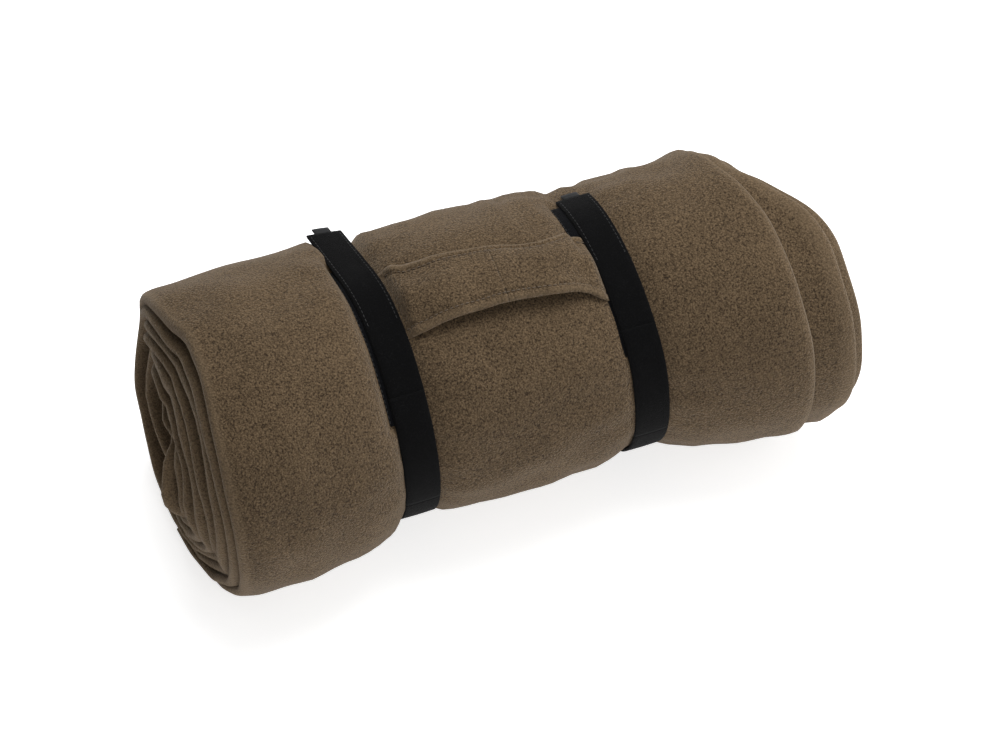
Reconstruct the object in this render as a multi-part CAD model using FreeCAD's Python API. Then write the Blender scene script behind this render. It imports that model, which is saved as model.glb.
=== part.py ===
"""Rolled fleece camp blanket with a carry handle and two hook-and-loop straps.

Frame: +X along the roll, -Y the front, +Z up.  The origin is the middle of the
bounding box on the surface that the roll rests on.  Lengths are millimetres.

A place around the roll is a clock angle: 0 is the front (-Y), 90 the top (+Z),
180 the back (+Y) and -90 the underside.  Every strap and tape is a band with
the roll's axis as its centre, so it is given by two x values, two radii and two
clock angles.
"""
import FreeCAD
import Part
import math
import os

V = FreeCAD.Vector

# ---------------------------------------------------------------- blanket roll
ROLL_LENGTH = 404.0          # along X, between the two outermost edges
LEFT_END_RADIUS = 98.5       # the loose left end, before the rest flat is pressed
RIGHT_END_RADIUS = 93.5      # the right end
MIDDLE_RADIUS = 87.5         # the bulge between the two straps
WAIST_RADIUS = 76.5          # the roll where a strap cinches it
SHOULDER_RISE = 5.5          # how much the roll swells just outside a strap
END_ROUND = 14.0             # length over which an end rounds off
RIGHT_LEAN = 0.40            # slope of the telescoped right end
RIGHT_LEAN_CLOCK = 24.0      # clock angle where the right end reaches furthest
REST_DEPTH = 5.5             # how far its weight flattens the smaller end

# --------------------------------------------------------------------- straps
STRAP_WIDTH = 21.0
STRAP_THICKNESS = 1.8
STRAP_X = {"left": -66.0, "right": 71.0}
ANCHOR_CLOCK = -163.0        # sewn end, at the back
ANCHOR_SPAN = 24.0           # clock span of the sewn end
PEEL_CLOCKS = (-40.0, 20.0, 75.0)   # where the strap bends as it is peeled open
TAIL_CLOCK = {"left": 108.0, "right": 115.0}    # where the tail leaves the roll
TAIL_FREE = {"left": 50.0, "right": 8.0}        # straight length past that
TAB_WIDTH = 10.0
TAB_LENGTH = 7.0
TAB_THICKNESS = 1.2
HOOK_THICKNESS = 0.8
HOOK_MARGIN = 3.0            # clock angle between the last bend and the hook tape

# ------------------------------------------------------------------ loop tapes
LOOP_THICKNESS = 1.6
LOOP_CLOCKS = (36.0, 117.0)
LOOP_SHIFT = {"left": -3.0, "right": -6.0}     # sewn a little off the strap's line

# --------------------------------------------------------------------- handle
HANDLE_CLOCK = 84.0
HANDLE_WIDTH = 46.0
HANDLE_THICKNESS = 4.0       # two layers of fleece, turned in at the edges
HANDLE_GAP = 8.7             # slack between the roll and the middle of the handle
HANDLE_END_LIFT = 1.5        # slack at its two ends
HANDLE_RISER = 5.5           # length of the sewn end that shows beside a strap
HANDLE_SEWN = 16.0           # length of the sewn end that lies under a strap

# --------------------------------------------------------------------- thread
THREAD_WIDTH = 0.7
THREAD_HEIGHT = 0.4
STITCH_LENGTH = 3.2
STITCH_PITCH = 4.6
STITCH_INSET = 2.0           # from a tape's edge
TACK_RADIUS = 0.45
TACK_COUNT = 7

CLEARANCE = 0.3              # between pieces that move against each other
SIDE_CLEARANCE = 1.0         # beside a strap
CUT_SIZE = 600.0             # larger than the roll in every direction

# ----------------------------------------------------------- worked-out values
HALF_LENGTH = ROLL_LENGTH / 2
HALF_STRAP = STRAP_WIDTH / 2
STRAP_INNER = WAIST_RADIUS + CLEARANCE
STRAP_OUTER = STRAP_INNER + STRAP_THICKNESS
AXIS_HEIGHT = max(min(LEFT_END_RADIUS, RIGHT_END_RADIUS) - REST_DEPTH, STRAP_OUTER + CLEARANCE)
LOOP_INNER = WAIST_RADIUS - LOOP_THICKNESS
SEWN_INNER = LOOP_INNER - 0.8 * HANDLE_THICKNESS
AXIS = V(0, 0, AXIS_HEIGHT)
SIDES = ("left", "right")


def place(x, radius, clock):
    """The point at x, at a radius from the roll's axis and a clock angle."""
    turn = math.radians(clock)
    return V(x, -radius * math.cos(turn), AXIS_HEIGHT + radius * math.sin(turn))


def along(clock):
    """Unit vector around the roll, towards a larger clock angle."""
    turn = math.radians(clock)
    return V(0, math.sin(turn), math.cos(turn))


def section(corners, clock):
    """A flat face through the roll's axis, from (x, radius) corners."""
    points = [place(x, radius, clock) for x, radius in corners]
    return Part.Face(Part.makePolygon(points + points[:1]))


def turned(face, span):
    """A face swept round the roll's axis through a clock span."""
    return face.revolve(AXIS, V(-1, 0, 0), span)


def band(x0, x1, inner, outer, start, stop):
    corners = [(x0, inner), (x1, inner), (x1, outer), (x0, outer)]
    return turned(section(corners, start), stop - start)


def degrees(length, radius):
    return math.degrees(length / radius)


def group(solids):
    return Part.makeCompound(solids)


def save(name, shape):
    shape.exportStep(os.path.join("parts", name + ".step"))


# ------------------------------------------------------------- blanket's outline
def waist(side):
    """The stretch of x that a strap and its loop tape press flat."""
    middle = STRAP_X[side]
    shift = LOOP_SHIFT[side]
    low = middle - HALF_STRAP + min(shift, 0.0) - SIDE_CLEARANCE
    high = middle + HALF_STRAP + max(shift, 0.0) + SIDE_CLEARANCE
    return low, high


def swell(edge, direction, full_radius):
    """Points that lead from a waist's edge out to the full roll."""
    rise = full_radius - WAIST_RADIUS
    return [
        (edge, WAIST_RADIUS),
        (edge + 5.0 * direction, WAIST_RADIUS + SHOULDER_RISE),
        (edge + 15.0 * direction, WAIST_RADIUS + SHOULDER_RISE + 0.45 * (rise - SHOULDER_RISE)),
        (edge + 38.0 * direction, WAIST_RADIUS + SHOULDER_RISE + 0.85 * (rise - SHOULDER_RISE)),
    ]


def spline(points):
    curve = Part.BSplineCurve()
    curve.interpolate([place(x, radius, 90.0) for x, radius in points])
    return curve.toShape()


def roll_solid():
    left_low, left_high = waist("left")
    right_low, right_high = waist("right")
    far_right = HALF_LENGTH + END_ROUND
    left_part = [
        (-HALF_LENGTH, LEFT_END_RADIUS - 0.9 * END_ROUND),
        (-HALF_LENGTH + 0.25 * END_ROUND, LEFT_END_RADIUS - 0.35 * END_ROUND),
        (-HALF_LENGTH + END_ROUND, LEFT_END_RADIUS - 0.05 * END_ROUND),
        (-HALF_LENGTH + 2.5 * END_ROUND, LEFT_END_RADIUS),
    ] + swell(left_low, -1, LEFT_END_RADIUS)[::-1]
    middle_x = 0.5 * (left_high + right_low)
    centre_part = swell(left_high, 1, MIDDLE_RADIUS)[:3] + [(middle_x, MIDDLE_RADIUS)]
    centre_part += swell(right_low, -1, MIDDLE_RADIUS)[:3][::-1]
    right_part = swell(right_high, 1, RIGHT_END_RADIUS) + [
        (HALF_LENGTH - 3.5 * END_ROUND, RIGHT_END_RADIUS),
        (HALF_LENGTH, RIGHT_END_RADIUS),
        (far_right, RIGHT_END_RADIUS),
    ]
    edges = [
        Part.makeLine(place(-HALF_LENGTH, 0, 90.0), place(*left_part[0], 90.0)),
        spline(left_part),
        Part.makeLine(place(*left_part[-1], 90.0), place(*centre_part[0], 90.0)),
        spline(centre_part),
        Part.makeLine(place(*centre_part[-1], 90.0), place(*right_part[0], 90.0)),
        spline(right_part),
        Part.makeLine(place(*right_part[-1], 90.0), place(far_right, 0, 90.0)),
        Part.makeLine(place(far_right, 0, 90.0), place(-HALF_LENGTH, 0, 90.0)),
    ]
    outline = Part.Face(Part.Wire(edges))
    roll = outline.revolve(AXIS, V(1, 0, 0), 360.0)
    below = Part.makeBox(CUT_SIZE, CUT_SIZE, CUT_SIZE, V(-CUT_SIZE / 2, -CUT_SIZE / 2, -CUT_SIZE))
    return roll.cut(below).cut(beyond_right_end())


def beyond_right_end():
    """Everything past the leaning plane that closes the right end."""
    turn = math.radians(RIGHT_LEAN_CLOCK)
    normal = V(1, RIGHT_LEAN * math.cos(turn), -RIGHT_LEAN * math.sin(turn))
    block = Part.makeBox(CUT_SIZE, CUT_SIZE, CUT_SIZE, V(-CUT_SIZE / 2, -CUT_SIZE / 2, 0))
    reach = place(HALF_LENGTH, RIGHT_END_RADIUS, RIGHT_LEAN_CLOCK)
    block.Placement = FreeCAD.Placement(reach, FreeCAD.Rotation(V(0, 0, 1), normal))
    return block


# ------------------------------------------------------------------------ straps
def strap_sides(side, width):
    return STRAP_X[side] - width / 2, STRAP_X[side] + width / 2


def strap_run(side, start, stop, inner=STRAP_INNER):
    low, high = strap_sides(side, STRAP_WIDTH)
    return band(low, high, inner, STRAP_OUTER, start, stop)


def straight_run(side, width, inner, outer, start, length):
    """A flat piece that leaves the roll along its tangent at the tail's clock angle."""
    low, high = strap_sides(side, width)
    clock = TAIL_CLOCK[side]
    corners = [(low, inner), (high, inner), (high, outer), (low, outer)]
    face = section(corners, clock)
    face.translate(along(clock) * start)
    return face.extrude(along(clock) * length)


def strap_pieces(side):
    slit = degrees(CLEARANCE / 2, STRAP_OUTER)
    first, second, third = PEEL_CLOCKS
    leave = TAIL_CLOCK[side]
    free = TAIL_FREE[side]
    hook_outer = STRAP_INNER + HOOK_THICKNESS
    low, high = strap_sides(side, STRAP_WIDTH - 1.0)
    hook = band(low, high, STRAP_INNER, hook_outer, third + HOOK_MARGIN, leave)
    hook = hook.fuse(straight_run(side, STRAP_WIDTH - 1.0, STRAP_INNER, hook_outer, 0, free - 2))
    hook = hook.removeSplitter()
    tail = strap_run(side, third + slit, leave)
    tail = tail.fuse(straight_run(side, STRAP_WIDTH, STRAP_INNER, STRAP_OUTER, 0, free))
    tail = tail.cut(hook)
    tab = straight_run(side, TAB_WIDTH, STRAP_OUTER - TAB_THICKNESS, STRAP_OUTER, free, TAB_LENGTH)
    return {
        "strap_base": strap_run(side, ANCHOR_CLOCK, first - slit, WAIST_RADIUS),
        "strap_front": strap_run(side, first + slit, second - slit),
        "strap_upper": strap_run(side, second + slit, third - slit),
        "strap_tail": tail,
        "hook_tape": hook,
        "pull_tab": tab,
    }


# ------------------------------------------------------------------------ thread
def round_row(x, radius, start, stop):
    """Stitches laid around the roll at one x."""
    pitch = degrees(STITCH_PITCH, radius)
    length = degrees(STITCH_LENGTH, radius)
    count = int((stop - start) // pitch)
    edges = (x - THREAD_WIDTH / 2, x + THREAD_WIDTH / 2)
    outer = radius + THREAD_HEIGHT
    starts = [start + pitch * number for number in range(count)]
    return [band(*edges, radius, outer, clock, clock + length) for clock in starts]


def cross_row(x0, x1, radius, clock):
    """Stitches laid along the roll at one clock angle."""
    count = int((x1 - x0) // STITCH_PITCH)
    first = 0.5 * (x0 + x1 - count * STITCH_PITCH + STITCH_PITCH - STITCH_LENGTH)
    thickness = degrees(THREAD_WIDTH, radius)
    outer = radius + THREAD_HEIGHT
    starts = [first + STITCH_PITCH * number for number in range(count)]
    return [band(x, x + STITCH_LENGTH, radius, outer, clock, clock + thickness) for x in starts]


def anchor_stitching(side):
    """Two rows along the tape and two across it, where the strap is sewn on."""
    low, high = strap_sides(side, STRAP_WIDTH - 2 * STITCH_INSET)
    near = ANCHOR_CLOCK + degrees(STITCH_INSET, STRAP_OUTER)
    far = ANCHOR_CLOCK + ANCHOR_SPAN
    gap = degrees(STITCH_PITCH - STITCH_LENGTH + THREAD_WIDTH, STRAP_OUTER)
    stitches = round_row(low, STRAP_OUTER, near + gap, far)
    stitches += round_row(high, STRAP_OUTER, near + gap, far)
    stitches += cross_row(low, high, STRAP_OUTER, near)
    stitches += cross_row(low, high, STRAP_OUTER, far + gap)
    return group(stitches)


def tail_stitching(side):
    """Two rows through the strap that hold the hook tape under its tail."""
    low, high = strap_sides(side, STRAP_WIDTH - 2 * STITCH_INSET)
    start = PEEL_CLOCKS[2] + HOOK_MARGIN
    stop = TAIL_CLOCK[side]
    rows = round_row(low, STRAP_OUTER, start, stop) + round_row(high, STRAP_OUTER, start, stop)
    return group(rows)


# -------------------------------------------------------------------- loop tapes
def loop_sides(side):
    low, high = strap_sides(side, STRAP_WIDTH)
    return low + LOOP_SHIFT[side], high + LOOP_SHIFT[side]


def loop_tape(side):
    low, high = loop_sides(side)
    return band(low, high, LOOP_INNER, WAIST_RADIUS, *LOOP_CLOCKS)


def loop_stitching(side):
    """The row along the tape's edge that the strap leaves bare, set into the pile."""
    low, high = loop_sides(side)
    bare_low = low if LOOP_SHIFT[side] < 0 else high - 2 * THREAD_WIDTH
    x = bare_low + THREAD_WIDTH
    margin = degrees(STITCH_INSET, WAIST_RADIUS)
    return round_row(x, WAIST_RADIUS - THREAD_HEIGHT, LOOP_CLOCKS[0] + margin, LOOP_CLOCKS[1])


# ------------------------------------------------------------------------ handle
def handle_span():
    """x where the loose part of the handle begins and ends, clear of strap and loop tape."""
    beside = HALF_STRAP + SIDE_CLEARANCE + HANDLE_RISER
    low = STRAP_X["left"] + max(LOOP_SHIFT["left"], 0.0) + beside
    high = STRAP_X["right"] + min(LOOP_SHIFT["right"], 0.0) - beside
    return low, high


def handle_arch():
    """Centre and radius of the arc that the underside of the handle follows."""
    low, high = handle_span()
    half = (high - low) / 2
    end_radius = WAIST_RADIUS + SHOULDER_RISE + HANDLE_END_LIFT
    rise = MIDDLE_RADIUS + HANDLE_GAP - end_radius
    radius = (half * half + rise * rise) / (2 * rise)
    return (low + high) / 2, MIDDLE_RADIUS + HANDLE_GAP - radius, radius


def arch_piece(y0, y1, inner, outer, start, stop):
    """Part of the arch: y across the handle, degrees along it, 0 at its top."""
    centre_x, centre_z, _ = handle_arch()

    def corner(y, radius):
        turn = math.radians(start)
        return V(centre_x + radius * math.sin(turn), y, AXIS_HEIGHT + centre_z + radius * math.cos(turn))

    points = [corner(y0, inner), corner(y1, inner), corner(y1, outer), corner(y0, outer)]
    face = Part.Face(Part.makePolygon(points + points[:1]))
    centre = V(centre_x, 0, AXIS_HEIGHT + centre_z)
    piece = face.revolve(centre, V(0, 1, 0), stop - start)
    piece.rotate(AXIS, V(1, 0, 0), 90.0 - HANDLE_CLOCK)
    return piece


def handle_grip():
    low, high = handle_span()
    _, _, radius = handle_arch()
    reach = math.degrees(math.asin((high - low) / 2 / radius))
    half = HANDLE_WIDTH / 2
    grip = arch_piece(-half, half, radius, radius + HANDLE_THICKNESS, -reach, reach)
    room = Part.makeBox(high - low, CUT_SIZE, CUT_SIZE, V(low, -CUT_SIZE / 2, 0))
    return grip.common(room)


def handle_stitching(edge):
    """One row of topstitching near an edge of the grip: -1 front, 1 back."""
    low, high = handle_span()
    _, _, radius = handle_arch()
    outer = radius + HANDLE_THICKNESS
    reach = math.degrees(math.asin((high - low) / 2 / outer))
    y = edge * (HANDLE_WIDTH / 2 - 1.3 * STITCH_INSET)
    pitch = degrees(STITCH_PITCH, outer)
    length = degrees(STITCH_LENGTH, outer)
    count = int(2 * reach // pitch)
    first = -0.5 * (count * pitch - pitch + length)
    sides = (y - THREAD_WIDTH / 2, y + THREAD_WIDTH / 2)
    starts = [first + pitch * number for number in range(count)]
    height = outer + THREAD_HEIGHT
    return group([arch_piece(*sides, outer, height, angle, angle + length) for angle in starts])


def handle_end(side):
    """The sewn end: it lies under the loop tape and comes up beside the strap."""
    inward = 1 if side == "left" else -1
    start = handle_span()[0 if side == "left" else 1] - inward * CLEARANCE
    beside = start - inward * (HANDLE_RISER - CLEARANCE)
    under = beside - inward * HANDLE_SEWN
    top = WAIST_RADIUS + SHOULDER_RISE + HANDLE_END_LIFT + 0.8 * HANDLE_THICKNESS
    corners = [
        (under, SEWN_INNER), (start, SEWN_INNER), (start, top),
        (beside, top), (beside, LOOP_INNER), (under, LOOP_INNER),
    ]
    half_span = degrees(HANDLE_WIDTH / 2, WAIST_RADIUS + SHOULDER_RISE)
    return turned(section(corners, HANDLE_CLOCK - half_span), 2 * half_span)


def handle_tack(side):
    """A line of thread pins through the loop tape, the handle's end and the fleece."""
    inward = 1 if side == "left" else -1
    start = handle_span()[0 if side == "left" else 1]
    x = start - inward * (HANDLE_RISER + 0.4 * HANDLE_SEWN)
    half_span = degrees(HANDLE_WIDTH / 2, WAIST_RADIUS + SHOULDER_RISE) - 3.0
    step = 2 * half_span / (TACK_COUNT - 1)
    length = WAIST_RADIUS - SEWN_INNER + 2.0
    pins = []
    for number in range(TACK_COUNT):
        clock = HANDLE_CLOCK - half_span + step * number
        foot = place(x, WAIST_RADIUS - 0.1 - length, clock)
        outward = place(x, WAIST_RADIUS, clock) - foot
        pins.append(Part.makeCylinder(TACK_RADIUS, length, foot, outward))
    return pins


# ---------------------------------------------------------------------- assembly
def build():
    os.makedirs("parts", exist_ok=True)
    nodes = {}
    roll = roll_solid()
    for side in SIDES:
        pins = handle_tack(side)
        thread = loop_stitching(side)
        end = handle_end(side)
        tape = loop_tape(side)
        roll = roll.cut(end).cut(tape).cut(group(pins))
        nodes["loop_tape_" + side] = tape.cut(group(pins + thread))
        nodes["loop_stitching_" + side] = group(thread)
        nodes["handle_end_" + side] = end.cut(group(pins))
        nodes["handle_tack_" + side] = group(pins)
        nodes["anchor_stitching_" + side] = anchor_stitching(side)
        nodes["tail_stitching_" + side] = tail_stitching(side)
        for name, shape in strap_pieces(side).items():
            nodes[name + "_" + side] = shape
    nodes["handle_grip"] = handle_grip()
    nodes["handle_stitching_front"] = handle_stitching(-1)
    nodes["handle_stitching_back"] = handle_stitching(1)
    nodes["blanket_roll"] = roll
    for name, shape in nodes.items():
        save(name, shape)
    return nodes


def describe(nodes):
    whole = group(list(nodes.values())).BoundBox
    print("box x %.1f..%.1f y %.1f..%.1f z %.1f..%.1f" % (
        whole.XMin, whole.XMax, whole.YMin, whole.YMax, whole.ZMin, whole.ZMax))
    for name, shape in sorted(nodes.items()):
        print("%-24s %3d solids %12.1f mm3 valid %s" % (
            name, len(shape.Solids), shape.Volume, shape.isValid()))
    for side in SIDES:
        for number, clock in enumerate(PEEL_CLOCKS):
            hinge = place(STRAP_X[side], STRAP_OUTER, clock)
            print("hinge %s %d at %.2f %.2f %.2f" % (side, number, hinge.x, hinge.y, hinge.z))


describe(build())
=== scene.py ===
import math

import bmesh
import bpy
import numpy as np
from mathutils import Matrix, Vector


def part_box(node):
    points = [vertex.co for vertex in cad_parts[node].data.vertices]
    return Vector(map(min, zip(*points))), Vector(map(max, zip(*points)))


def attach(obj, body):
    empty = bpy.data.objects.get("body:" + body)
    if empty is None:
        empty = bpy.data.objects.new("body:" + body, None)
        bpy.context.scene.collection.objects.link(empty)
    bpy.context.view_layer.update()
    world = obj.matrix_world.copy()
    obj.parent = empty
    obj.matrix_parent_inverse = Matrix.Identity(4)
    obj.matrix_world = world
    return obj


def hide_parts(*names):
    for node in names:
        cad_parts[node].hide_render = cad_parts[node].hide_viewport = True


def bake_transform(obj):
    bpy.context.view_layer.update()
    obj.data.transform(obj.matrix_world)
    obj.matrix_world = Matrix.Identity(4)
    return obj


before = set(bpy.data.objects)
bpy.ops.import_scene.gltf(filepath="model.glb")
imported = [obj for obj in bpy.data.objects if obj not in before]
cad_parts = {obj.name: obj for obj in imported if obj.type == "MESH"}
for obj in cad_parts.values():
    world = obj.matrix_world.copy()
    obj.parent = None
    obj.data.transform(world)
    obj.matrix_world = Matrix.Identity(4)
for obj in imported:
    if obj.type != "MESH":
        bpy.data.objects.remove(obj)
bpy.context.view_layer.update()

# %% [markdown]
# # A rolled fleece camp blanket
# The blanket is one sheet of fleece, 1.5 x 2.0 m, folded in four and rolled up.
# Two black hook-and-loop straps hold the roll and a band of the same fleece is
# its carry handle.  This lesson makes the cloth as the real one is made: the
# sheet is folded and wound by a formula, so every layer that shows at the two
# ends is a real layer of cloth.  Everything is placed from the design frame.

SIDES = ("left", "right")
AXIS_HEIGHT = 0.088          # of the roll's axis above the floor
WAIST_RADIUS = 0.0765        # of the roll under a strap
STRAP_X = {side: sum(corner.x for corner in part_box("strap_front_" + side)) / 2 for side in SIDES}
STRAP_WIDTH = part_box("strap_front_left")[1].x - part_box("strap_front_left")[0].x
MIDDLE = (STRAP_X["left"] + STRAP_X["right"]) / 2
print("straps at", STRAP_X, "and", round(STRAP_WIDTH * 1000, 1), "mm wide")


# %% [markdown]
# ## Shader maths as Python
# A material is a sum of small masks.  Writing it as expressions keeps it
# readable: the class below wraps a node socket, and each operator adds the Math
# node that does the same thing.

# %% A socket that can be added and multiplied, and a material made of them
class Socket:
    """A node's output that Python's operators can work on."""

    def __init__(self, tree, link):
        self.tree = tree
        self.link = link

    def math(self, operation, *others, clamp=False):
        node = self.tree.nodes.new("ShaderNodeMath")
        node.operation = operation
        node.use_clamp = clamp
        for place, value in zip(node.inputs, (self, *others)):
            if isinstance(value, Socket):
                self.tree.links.new(value.link, place)
            else:
                place.default_value = value
        return Socket(self.tree, node.outputs[0])

    def __add__(self, other):
        return self.math("ADD", other)

    __radd__ = __add__

    def __mul__(self, other):
        return self.math("MULTIPLY", other)

    __rmul__ = __mul__

    def __sub__(self, other):
        return self.math("SUBTRACT", other)

    def __rsub__(self, other):
        return (self * -1.0) + other

    def clamp(self):
        return self.math("ADD", 0.0, clamp=True)


class Finish:
    """One material: its node tree, its shader and the sockets that feed it."""

    def __init__(self, name, **constants):
        self.material = bpy.data.materials.new(name)
        self.material.use_nodes = True
        self.tree = self.material.node_tree
        self.shader = self.tree.nodes["Principled BSDF"]
        for socket, value in constants.items():
            self.shader.inputs[socket.replace("_", " ")].default_value = value

    def node(self, kind, output, settings=None, **inputs):
        node = self.tree.nodes.new("ShaderNode" + kind)
        for name, value in (settings or {}).items():
            setattr(node, name, value)
        for name, value in inputs.items():
            place = node.inputs[name.replace("_", " ")]
            if isinstance(value, Socket):
                self.tree.links.new(value.link, place)
            else:
                place.default_value = value
        return Socket(self.tree, node.outputs[output])

    def place(self):
        return self.node("TexCoord", "Object")

    def noise(self, scale, detail=2.0, roughness=0.5, stretch=None):
        where = self.place()
        if stretch is not None:
            where = self.node("Mapping", "Vector", Vector=where, Scale=stretch)
        return self.node("TexNoise", "Fac", Vector=where, Scale=scale, Detail=detail,
                         Roughness=roughness)

    def cells(self, scale, feature="F1"):
        return self.node("TexVoronoi", "Distance", {"feature": feature}, Vector=self.place(),
                         Scale=scale)

    def attribute(self, name):
        return self.node("Attribute", "Fac", {"attribute_name": name})

    def blend(self, mask, low, high):
        """One colour where the mask is 0 and the other where it is 1."""
        node = self.tree.nodes.new("ShaderNodeMix")
        node.data_type = "RGBA"
        factor, first, second = node.inputs[0], node.inputs[6], node.inputs[7]
        self.tree.links.new(mask.clamp().link, factor)
        for place, value in ((first, low), (second, high)):
            if isinstance(value, Socket):
                self.tree.links.new(value.link, place)
            else:
                place.default_value = (*value, 1.0)
        return Socket(self.tree, node.outputs[2])

    def feed(self, **sockets):
        for name, value in sockets.items():
            self.tree.links.new(value.link, self.shader.inputs[name.replace("_", " ")])

    def bump(self, height, depth, strength=1.0):
        normal = self.node("Bump", "Normal", Height=height, Distance=depth, Strength=strength)
        self.feed(Normal=normal)


# %% [markdown]
# ## Fleece
# Brushed fleece is a knit whose surface is scrubbed into a nap, then sheared,
# so it shows soft tufts under 2 mm wide, lighter at their tips and dark between.
# It has no shine, only the pale bloom of fibres seen edge on, which the sheen
# of the shader gives.  An attribute painted by the cloth's own maths gives a
# painted highlight: cut edges and fold crests get a paler colour, as they catch
# more light than the flat cloth.

# %% The fleece of the blanket and its handle
PILE = 1050.0                # scale of the noise that makes a tuft about 1 mm wide
FLEECE_DARK = (0.024, 0.0150, 0.0078)
FLEECE_PALE = (0.132, 0.090, 0.051)
# Colour of the painted highlight on cut edges and fold crests, which catch more light
FLEECE_RIM_HIGHLIGHT = (0.150, 0.106, 0.064)
FLEECE_BLOOM = (0.80, 0.68, 0.55, 1.0)


def make_fleece():
    finish = Finish("fleece", Roughness=0.95, Specular_IOR_Level=0.12,
                    Sheen_Weight=0.22, Sheen_Roughness=0.45)
    finish.shader.inputs["Sheen Tint"].default_value = FLEECE_BLOOM
    tufts = finish.noise(PILE, 3.0, 0.62)
    clumps = finish.cells(PILE * 0.75, "SMOOTH_F1")
    patches = finish.noise(22.0, 3.0, 0.6)
    grain = (tufts - 0.5) * 3.0 + (0.42 - clumps) * 0.8 + (patches - 0.5) * 0.35 + 0.5
    cloth = finish.blend(grain, FLEECE_DARK, FLEECE_PALE)
    # Painted highlight: a paler colour on cut edges and fold crests, where they catch more light
    # than the flat cloth
    rim_highlight = finish.attribute("rim_highlight") * (0.25 + 0.35 * tufts)
    finish.feed(Base_Color=finish.blend(rim_highlight, cloth, FLEECE_RIM_HIGHLIGHT))
    finish.bump(tufts * 0.7 + (1.0 - clumps) * 0.5, 0.0012, 0.85)
    return finish.material


fleece = make_fleece()
print(fleece.name, "has", len(fleece.node_tree.nodes), "nodes")


# %% [markdown]
# ## Hook-and-loop tape, tab and thread
# The strap's outside is loop pile, a black mat of tiny nylon loops with a
# speckled grey glint.  The hook tape under its tail is a grid of moulded hooks
# on a woven ground.  The pull tab is the tape's bare end, welded smooth.

# %% Black tapes and threads
def make_pile(name, dark, pale, loops):
    finish = Finish(name, Specular_IOR_Level=0.08, Sheen_Weight=0.02, Sheen_Roughness=0.4)
    tangle = finish.noise(loops, 4.0, 0.7)
    patches = finish.noise(90.0, 2.0, 0.5)
    glint = (tangle - 0.56) * 4.0 + (patches - 0.5) * 0.5
    finish.feed(Base_Color=finish.blend(glint, dark, pale))
    finish.feed(Roughness=0.88 - 0.25 * glint.clamp())
    finish.bump(tangle, 0.0009, 0.8)
    return finish.material


def make_hooks():
    finish = Finish("hook_tape", Specular_IOR_Level=0.4)
    rows = finish.cells(900.0)
    finish.feed(Base_Color=finish.blend(rows * 1.4, (0.030, 0.030, 0.032), (0.006, 0.006, 0.007)))
    finish.feed(Roughness=0.45 + 0.3 * rows)
    finish.bump(1.0 - rows, 0.0006, 0.9)
    return finish.material


def make_welded():
    finish = Finish("pull_tab", Specular_IOR_Level=0.2)
    ribs = finish.noise(500.0, 2.0, 0.5, stretch=(0.15, 1.0, 1.0))
    finish.feed(Base_Color=finish.blend(ribs, (0.004, 0.004, 0.0045), (0.012, 0.012, 0.013)))
    finish.feed(Roughness=0.55 + 0.2 * ribs)
    finish.bump(ribs, 0.0003, 0.6)
    return finish.material


def make_thread(name, dark, pale):
    finish = Finish(name, Specular_IOR_Level=0.3, Sheen_Weight=0.15)
    twist = finish.noise(1800.0, 2.0, 0.5, stretch=(1.0, 0.4, 1.0))
    finish.feed(Base_Color=finish.blend(twist, dark, pale))
    finish.feed(Roughness=0.6 + 0.25 * twist)
    finish.bump(twist, 0.0002, 0.7)
    return finish.material


strap_pile = make_pile("strap_pile", (0.0012, 0.0012, 0.0014), (0.012, 0.012, 0.013), 1500.0)
tape_pile = make_pile("loop_tape_pile", (0.0018, 0.0019, 0.0026), (0.020, 0.022, 0.028), 1700.0)
hooks = make_hooks()
tab_finish = make_welded()
thread_black = make_thread("thread_black", (0.0012, 0.0012, 0.0014), (0.006, 0.006, 0.007))
thread_brown = make_thread("thread_brown", (0.060, 0.042, 0.028), (0.150, 0.112, 0.076))
print("finishes:", [material.name for material in bpy.data.materials])


# %% [markdown]
# ## Soft shapes from small maths
# Cloth has no sharp change anywhere, so every shape below is a sum of a few soft
# ones: a step from 0 to 1, a hump, a rounded line through measured places, and a
# fixed sum of waves.  A place around the roll is a clock angle: 0 is the front,
# a quarter turn is the top.

# %% Steps, humps, rounded lines and waves
def step(value, low, high):
    """0 below low, 1 above high, and a soft rise between."""
    t = np.clip((np.asarray(value, float) - low) / (high - low), 0.0, 1.0)
    return t * t * (3.0 - 2.0 * t)


def hump(value, middle, width):
    """1 at the middle, fading to nothing about two widths away."""
    return np.exp(-(((np.asarray(value, float) - middle) / width) ** 2))


def curve(places, values, width):
    """A smooth line through (place, value) pairs: straight pieces, then rounded."""
    offsets = np.linspace(-width, width, 9)
    weights = np.cos(offsets / width * math.pi / 2) ** 2
    weights /= weights.sum()

    def at(x):
        x = np.asarray(x, float)
        return sum(w * np.interp(x + o, places, values) for w, o in zip(weights, offsets))

    return at


def round_curve(degrees, values, width=0.25):
    """The same around the roll: it closes on itself after one turn."""
    clocks = np.radians(np.array(degrees, float))
    places = np.concatenate([clocks - 2 * math.pi, clocks, clocks + 2 * math.pi])
    line = curve(places, np.tile(values, 3), width)
    return lambda clock: line((np.asarray(clock, float) + math.pi) % (2 * math.pi) - math.pi)


def waves(seed, count, longest, shortest):
    """A fixed sum of waves over a plane, between -1 and 1."""
    rng = np.random.default_rng(seed)
    sizes = 2 * math.pi / np.exp(rng.uniform(math.log(shortest), math.log(longest), count))
    turns = rng.uniform(0, 2 * math.pi, count)
    phases = rng.uniform(0, 2 * math.pi, count)

    def at(a, b):
        total = sum(np.cos(k * (a * math.cos(t) + b * math.sin(t)) + p)
                    for k, t, p in zip(sizes, turns, phases))
        return total / math.sqrt(count)

    return at


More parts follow.
